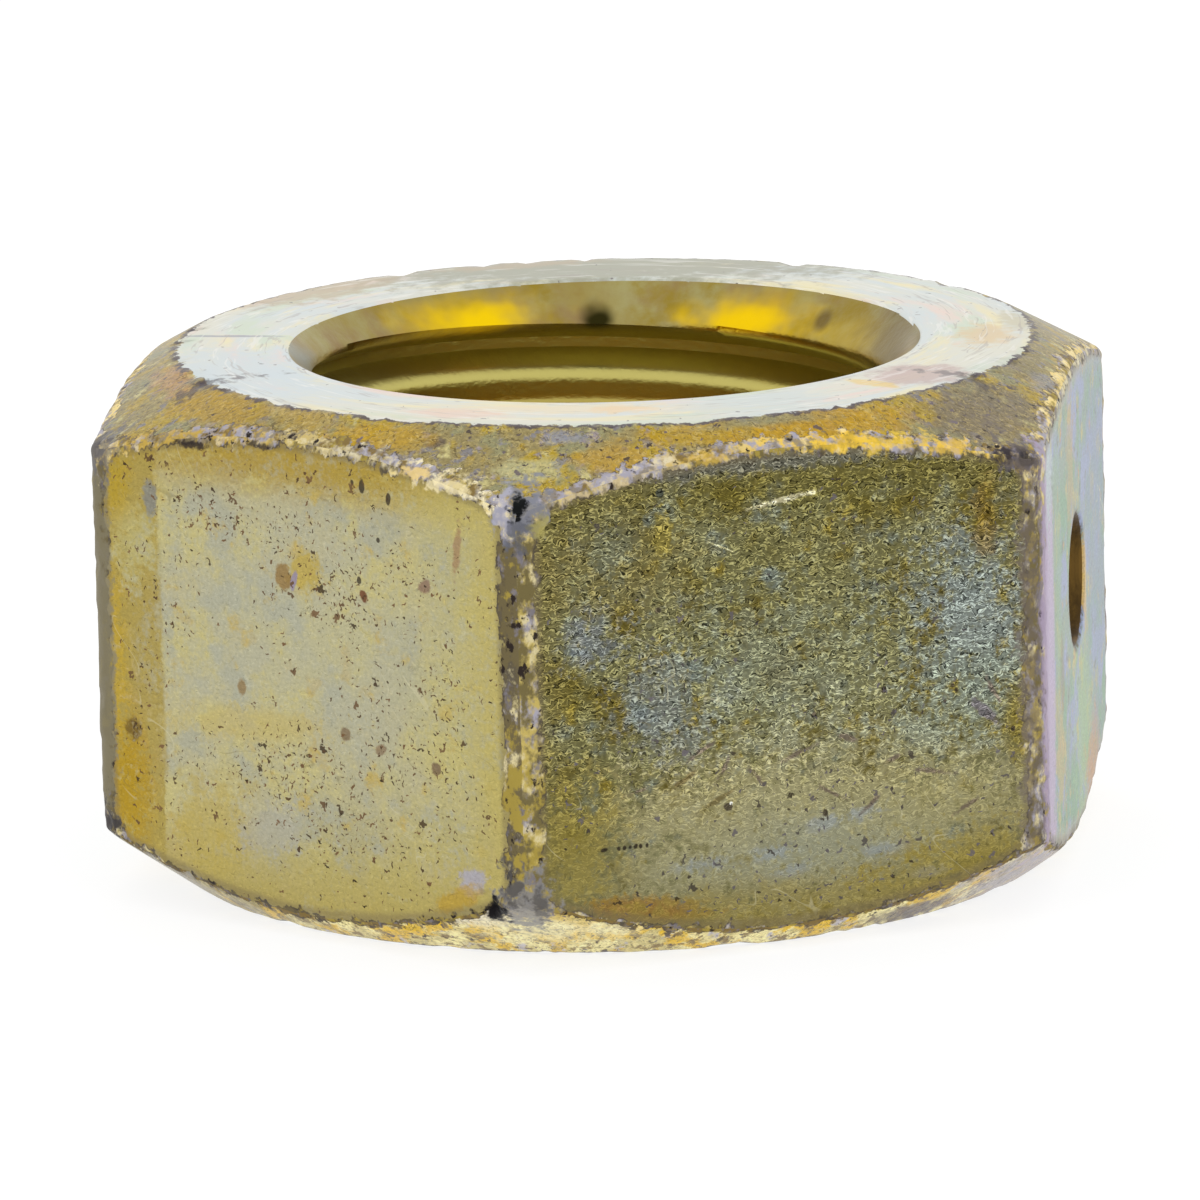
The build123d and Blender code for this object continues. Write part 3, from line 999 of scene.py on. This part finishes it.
# The six flats in turn from +X: look, stains, and where specks crowd.
flats = (
    (mint_and_reflection_look, marked_stains, ()),
    (khaki_and_reflection_look, (), ()),
    (olive_and_shade_look, (), ()),
    (mint_and_reflection_look, far_marked_stains, ()),
    (khaki_and_reflection_look, khaki_stains_and_reflection_edge, khaki_crowds),
    (olive_and_shade_look, olive_stains, olive_crowds),
)
for number, (look, stains, crowds) in enumerate(flats):
    tree, out = new_material(f"flat_{number * 60}", body)
    seed = 3.7 * number
    whole = nut_place(tree)
    flat = nut_place(tree, (math.pi / 2, 0, number * sector + math.pi / 2))
    height = parted(flat)[1]
    gap = attribute(tree, "edge_gap")
    arc_gap = attribute(tree, "arc_gap")
    uneven = cloud(flat, 0.9, 3.0, seed)[0] + cloud(flat, 0.22, 3.0, seed)[0] - 1.0

    colour = lay_patches(look["base"], flat, look["patches"], seed)
    border_colour, border_width = look["border"]
    colour = cover(colour, border_colour, fade(gap, border_width, 0.2) * 0.8)
    colour = lay_stains(colour, flat, [
        (stain_colour, (along, up, flat_distance), (half_along, half_up, 9.0), tilt, softness, strength)
        for stain_colour, along, up, half_along, half_up, tilt, softness, strength in stains
    ], uneven)

    light, shade, share, strength = look["strokes"]
    if look is olive_and_shade_look:
        strength = fade(height, 3.0, 8.0) * strength + 0.2
    # The strokes lighten and darken the film as painted highlight and painted shade of raised strokes.
    stroke_light, stroke_dark, stroke_height = effect(curls, Vector=flat, Share=share, Seed=seed)
    colour = cover(colour, colour * light, stroke_light * strength)
    colour = cover(colour, colour * shade, stroke_dark * strength)
    fine = cloud(flat, 0.1, 3.0, seed)[0]
    colour = colour * ((fine - 0.5) * (strength * look["grain"]) + 1.0)

    colour = lay_specks(colour, flat, look["speck"], look["sizes"], seed, [
        ((along, up, flat_distance), (half_along, half_up, 9.0))
        for along, up, half_along, half_up in crowds
    ])
    for tilt, line_colour, line_seed in ((-50, (214, 208, 172), 1.0), (-8, (120, 108, 70), 3.0)):
        line = effect(hairlines, Vector=flat, Length=4.0, Spacing=1.2, Width=0.014, Share=0.2,
                      Tilt=math.radians(tilt), Seed=seed + line_seed)
        colour = cover(colour, line_colour, line * 0.35)

    arc_share, corner_share, crust_film, crust_piece = look["crust"]
    near_arc = fade(arc_gap, 1.6, 0.3) * fade(height, 3.0, 6.0)
    tinted = lay_stains(crust_piece, whole, crust_and_highlight_tints, uneven)
    crust_mask, crust = effect(
        worn_edge_and_glint, Vector=whole * (1, 1, 0.7), Gap=gap, Width=fade(height, 3.2, 1.6) * -0.12 + 0.22,
        Raggedness=0.5, Bright_Share=near_arc * (arc_share - corner_share) + corner_share,
        Body=screen(*crust_film), Piece=cover((208, 188, 110), tinted, near_arc))
    colour = cover(colour, (124, 112, 84), fade(gap, 0.45, 0.2) * 0.5)
    colour = cover(colour, crust, crust_mask)
    colour = lay_wear_and_highlights(colour, whole, seed)

    relief = stroke_height * strength + fine * 0.4 - fade(gap, 0.3, 0.1) * 0.5
    finish_surface(out, colour, relief, 0.02, rubbed=crust_mask)


# Stains of the upper cone, of the lower one and of the ring: colour, bearing in degrees,
# distance from the axis, half size outwards and round, softness and strength.
cone_stains = (
    ((190, 154, 66), -79.5, 14.33, 0.6, 1.1, 0.4, 0.75),
    ((190, 154, 40), -67.6, 13.5, 0.45, 1.8, 0.4, 0.8),
    ((194, 152, 34), -52.0, 13.6, 0.6, 2.8, 0.4, 0.85),
    ((150, 146, 112), -60.0, 13.2, 0.2, 2.0, 0.5, 0.7),
    ((132, 120, 98), -30.0, 14.3, 1.1, 2.4, 0.4, 0.8),
    ((194, 190, 142), -89.5, 14.75, 0.5, 0.9, 0.4, 0.75),
    ((150, 152, 164), -85.8, 13.5, 0.25, 0.6, 0.4, 0.75),
    ((98, 88, 86), -101.7, 13.8, 0.22, 0.35, 0.3, 0.8),
    ((192, 154, 44), -108.7, 13.7, 0.5, 1.5, 0.4, 0.75),
    ((190, 158, 70), -123.0, 13.3, 0.4, 1.6, 0.4, 0.6),
    ((150, 138, 84), -128.0, 14.3, 0.7, 2.4, 0.5, 0.7),
    ((194, 158, 40), -118.0, 14.2, 0.5, 2.2, 0.4, 0.75),
    ((182, 146, 42), -138.0, 13.6, 0.7, 2.4, 0.4, 0.75),
    ((200, 150, 96), -155.0, 13.4, 0.5, 1.5, 0.5, 0.6),
    ((140, 128, 88), -13.3, 13.4, 0.5, 0.9, 0.4, 0.7),
    ((150, 148, 154), -12.8, 14.4, 0.6, 0.9, 0.4, 0.7),
    ((206, 178, 140), 122.0, 13.8, 0.8, 3.0, 0.5, 0.6),
)
foot_stains = (
    ((176, 172, 190), -22.0, 14.6, 2.0, 3.6, 0.5, 0.8),
    ((96, 86, 96), -42.0, 13.9, 0.5, 1.5, 0.4, 0.85),
    ((214, 206, 216), -96.0, 15.6, 0.5, 1.4, 0.5, 0.7),
    ((250, 242, 196), -88.0, 15.0, 1.0, 2.6, 0.5, 0.7),
    ((214, 182, 60), -84.0, 15.8, 0.5, 2.4, 0.5, 0.7),
    ((136, 122, 82), -140.0, 15.0, 2.0, 6.0, 0.6, 0.75),
    ((168, 170, 176), -150.0, 14.6, 1.0, 3.0, 0.5, 0.6),
)
ring_stains = (
    ((172, 172, 152), 99.5, 11.6, 2.8, 9.5, 0.5, 0.95),
    ((196, 178, 146), 145.0, 12.4, 1.2, 3.0, 0.5, 0.8),
    ((196, 178, 150), 112.0, 12.4, 0.5, 2.5, 0.5, 0.7),
    ((160, 160, 170), -178.9, 11.6, 1.6, 0.14, 0.4, 0.8),
    ((210, 220, 224), -150.0, 11.6, 1.8, 4.0, 0.4, 0.7),
    ((238, 222, 186), -84.0, 10.6, 0.7, 4.0, 0.5, 0.7),
    ((236, 206, 188), -102.0, 11.7, 0.6, 1.3, 0.4, 0.65),
    ((240, 208, 160), -78.0, 10.8, 0.5, 0.9, 0.4, 0.65),
    ((200, 176, 168), -26.6, 11.4, 1.3, 1.5, 0.3, 0.85),
    ((236, 206, 120), -35.5, 11.1, 0.9, 0.35, 0.3, 0.8),
    ((226, 196, 140), 4.7, 11.5, 0.8, 1.5, 0.5, 0.7),
    ((206, 196, 160), 15.0, 12.6, 0.5, 1.4, 0.5, 0.7),
    ((210, 218, 214), -58.0, 11.4, 1.4, 2.2, 0.4, 0.7),
)

# The two ends. The cones keep a gold and khaki film with grey flakes; the rings are rubbed
# nearly white, with faint rainbow tints and fine scratches round the bore.
end_looks = {
    "upper_end": {
        "seed": 20.0,
        # darker than the lower cone: partly the upper cone's deeper gold film, partly painted shade
        "base": (156, 142, 96),
        "patches": (
            ((182, 156, 54), 2.4, 0.44, 0.06),
            ((152, 148, 110), 1.6, 0.36, 0.06),
            ((186, 156, 56), 1.5, 0.24, 0.06),
            ((160, 148, 150), 0.8, 0.16, 0.05),
            ((138, 134, 134), 0.6, 0.27, 0.05),
            ((200, 190, 132), 0.9, 0.2, 0.05),
        ),
        # width, raggedness, bright share and piece
        "crust": (0.5, 0.9, 0.62, (248, 226, 156)),
        "stains": cone_stains,
        "ring_stains": ring_stains,
    },
    "lower_end": {
        "seed": 31.0,
        "base": (218, 204, 140),
        "patches": (
            ((252, 240, 176), 1.4, 0.5, 0.06),
            ((232, 194, 52), 1.0, 0.42, 0.05),
            ((196, 192, 200), 0.9, 0.2, 0.05),
            ((146, 124, 76), 0.5, 0.32, 0.05),
            ((86, 74, 56), 0.36, 0.16, 0.04),
        ),
        "crust": (0.2, 0.45, 0.05, (250, 236, 178)),
        "stains": foot_stains,
        "ring_stains": (),
    },
}


def lay_end_stains(colour, place, stains, uneven):
    """Stains on an end, at any height: each runs far up and down."""
    return lay_stains(colour, place, [
        round_stain(stain_colour, angle, distance, nut_height, (outwards, around, 40.0), softness, strength)
        for stain_colour, angle, distance, outwards, around, softness, strength in stains
    ], uneven)


for name, look in end_looks.items():
    tree, out = new_material(name, body)
    seed = look["seed"]
    whole = nut_place(tree)
    gap = attribute(tree, "edge_gap")
    past_rim = attribute(tree, "rim_gap")
    uneven = cloud(whole, 0.6, 5.0, seed)[0] - 0.5

    colour = lay_patches(look["base"], whole, look["patches"], seed)
    colour = lay_end_stains(colour, whole, look["stains"], uneven)
    fine = cloud(whole, 0.13, 3.0, seed)[0]
    stroke_light, stroke_dark, stroke_height = effect(
        curls, Vector=whole, Length=0.3, Width=0.2, Share=0.55, Seed=seed)
    # painted highlight and painted shade of the raised strokes
    colour = cover(colour, (214, 194, 130), stroke_light * 0.4)
    colour = cover(colour, (92, 78, 50), stroke_dark * 0.6)
    colour = colour * ((fine - 0.5) * 0.9 + 1.0)
    colour = lay_specks(colour, whole, ((60, 48, 38), (128, 116, 124)),
                        ((0.9, 0.09, 1.6, 0.75, 0.9), (0.35, 0.045, 1.6, 0.6, 0.85)), seed)
    width, raggedness, bright_share, piece = look["crust"]
    piece = lay_stains(piece, whole, crust_and_highlight_tints, uneven) if name == "upper_end" else screen(*piece)
    crust_mask, crust = effect(
        worn_edge_and_glint, Vector=whole, Gap=gap, Width=width, Raggedness=raggedness,
        Bright_Share=bright_share, Body=screen(146, 124, 74), Piece=piece)
    colour = cover(colour, crust, crust_mask)

    x, y, z = parted(whole)
    round_bore = joined(calc("ARCTAN2", y, x) * 11.5, length(whole * (1, 1, 0)))
    ring = lay_patches((226, 224, 208), round_bore * (0.22, 1.0, 1.0), (
        ((214, 222, 222), 2.6, 0.5, 0.16),
        ((236, 216, 204), 1.6, 0.26, 0.1),
        ((238, 228, 186), 1.4, 0.3, 0.1),
        ((212, 222, 202), 1.6, 0.24, 0.1),
    ), seed + 50)
    ring = lay_end_stains(ring, whole, look["ring_stains"], uneven)
    for line_colour, share, width, line_seed in (((168, 156, 148), 0.34, 0.018, 1.0),
                                                 ((246, 244, 238), 0.3, 0.03, 3.0)):
        line = effect(hairlines, Vector=round_bore, Length=2.4, Spacing=0.26, Width=width, Share=share,
                      Tilt=math.radians(4), Seed=seed + line_seed)
        ring = cover(ring, line_colour, line * 0.4)
    ring = lay_specks(ring, whole, ((90, 80, 84), (150, 140, 140)),
                      ((0.7, 0.05, 1.8, 0.5, 0.8),), seed + 4.0)

    # The ring's rim is jagged, with a broken dark line where the cone begins.
    jagged = (cloud(whole, 0.34, 4.0, seed)[0] - 0.5) * 0.6 + past_rim
    broken = fade(cloud(whole, 0.8, 2.0, seed + 3.0)[0], 0.36, 0.5)
    colour = cover(colour, (84, 74, 82), fade(jagged, 0.14, 0.02) * broken * 0.9)
    colour = cover(colour, ring, fade(jagged, -0.06, -0.12))
    colour = lay_wear_and_highlights(colour, whole, seed)

    relief = (stroke_height * 0.5 + fine * 0.5) * fade(past_rim, -0.2, 0.1)
    finish_surface(out, colour, relief, 0.03, rubbed=crust_mask)


# The bore keeps the deepest gold, since nothing rubs it. Its countersink has bright yellow
# patches painted as highlights where lamps reflect, a dark spot at its back painted as the
# camera's reflection, and a small dark spot. The thread below it is paler, and goes amber further down.
tree, out = new_material("bore", body)
whole = nut_place(tree)
x, y, z = parted(whole)
unrolled = joined(calc("ARCTAN2", y, x) * 9.0, z * 1.4)
uneven = (cloud(unrolled, 1.4, 2.0)[0] - 0.5) * 0.5
colour = lay_patches((158, 142, 82), unrolled, (
    ((168, 160, 108), 3.0, 0.4, 0.2),
    ((150, 126, 84), 2.4, 0.34, 0.16),
    ((152, 130, 50), 1.8, 0.34, 0.16),
), 1.0)
# colour, bearing in degrees, height, half size round and up, softness and strength
colour = lay_stains(colour, whole, [
    round_stain(stain_colour, angle, 8.9, up, (2.5, around, high), softness, strength)
    for stain_colour, angle, up, around, high, softness, strength in (
        # painted highlights: lamp reflections either side of the back of the countersink
        ((214, 178, 22), 129.0, 14.9, 2.0, 0.55, 0.8, 0.9),
        ((250, 210, 10), 126.0, 14.85, 1.2, 0.36, 0.8, 0.9),
        ((216, 178, 20), 66.0, 14.75, 1.9, 0.55, 0.8, 0.9),
        ((250, 208, 10), 68.0, 14.7, 1.3, 0.36, 0.8, 0.9),
        ((206, 176, 54), 34.0, 14.8, 1.6, 0.5, 0.8, 0.7),
        # painted reflection of the camera: a dark spot at the back of the countersink
        ((46, 42, 16), 100.6, 14.62, 0.42, 0.36, 0.7, 1.0),
        ((104, 86, 50), 50.0, 15.0, 0.3, 0.24, 0.6, 0.8),
        ((128, 138, 140), -171.6, 15.3, 1.2, 0.5, 0.8, 0.7),
        ((116, 100, 60), 24.0, 15.2, 2.0, 0.8, 0.8, 0.8),
    )
], uneven)
colour = cover(colour, (196, 185, 106), fade(z, nut_height - 1.25, nut_height - 1.7))
colour = cover(colour, (196, 160, 60), fade(z, nut_height - 2.6, nut_height - 5.6))
finish_surface(out, colour, cloud(unrolled, 0.3, 2.0)[0], 0.015, 0.3)

# The punch marks' walls hold a dark gold film, darkened further as painted shade inside the hollow.
tree, out = new_material("punch_mark", body)
whole = nut_place(tree)
colour = cover((112, 86, 42), (70, 54, 30), effect(film_patches, Vector=whole, Size=0.9, Softness=0.15))
finish_surface(out, colour, cloud(whole, 0.2, 2.0, dimensions="3D")[0], 0.02, 0.4)

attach(nut, "root")
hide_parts("nut_body")
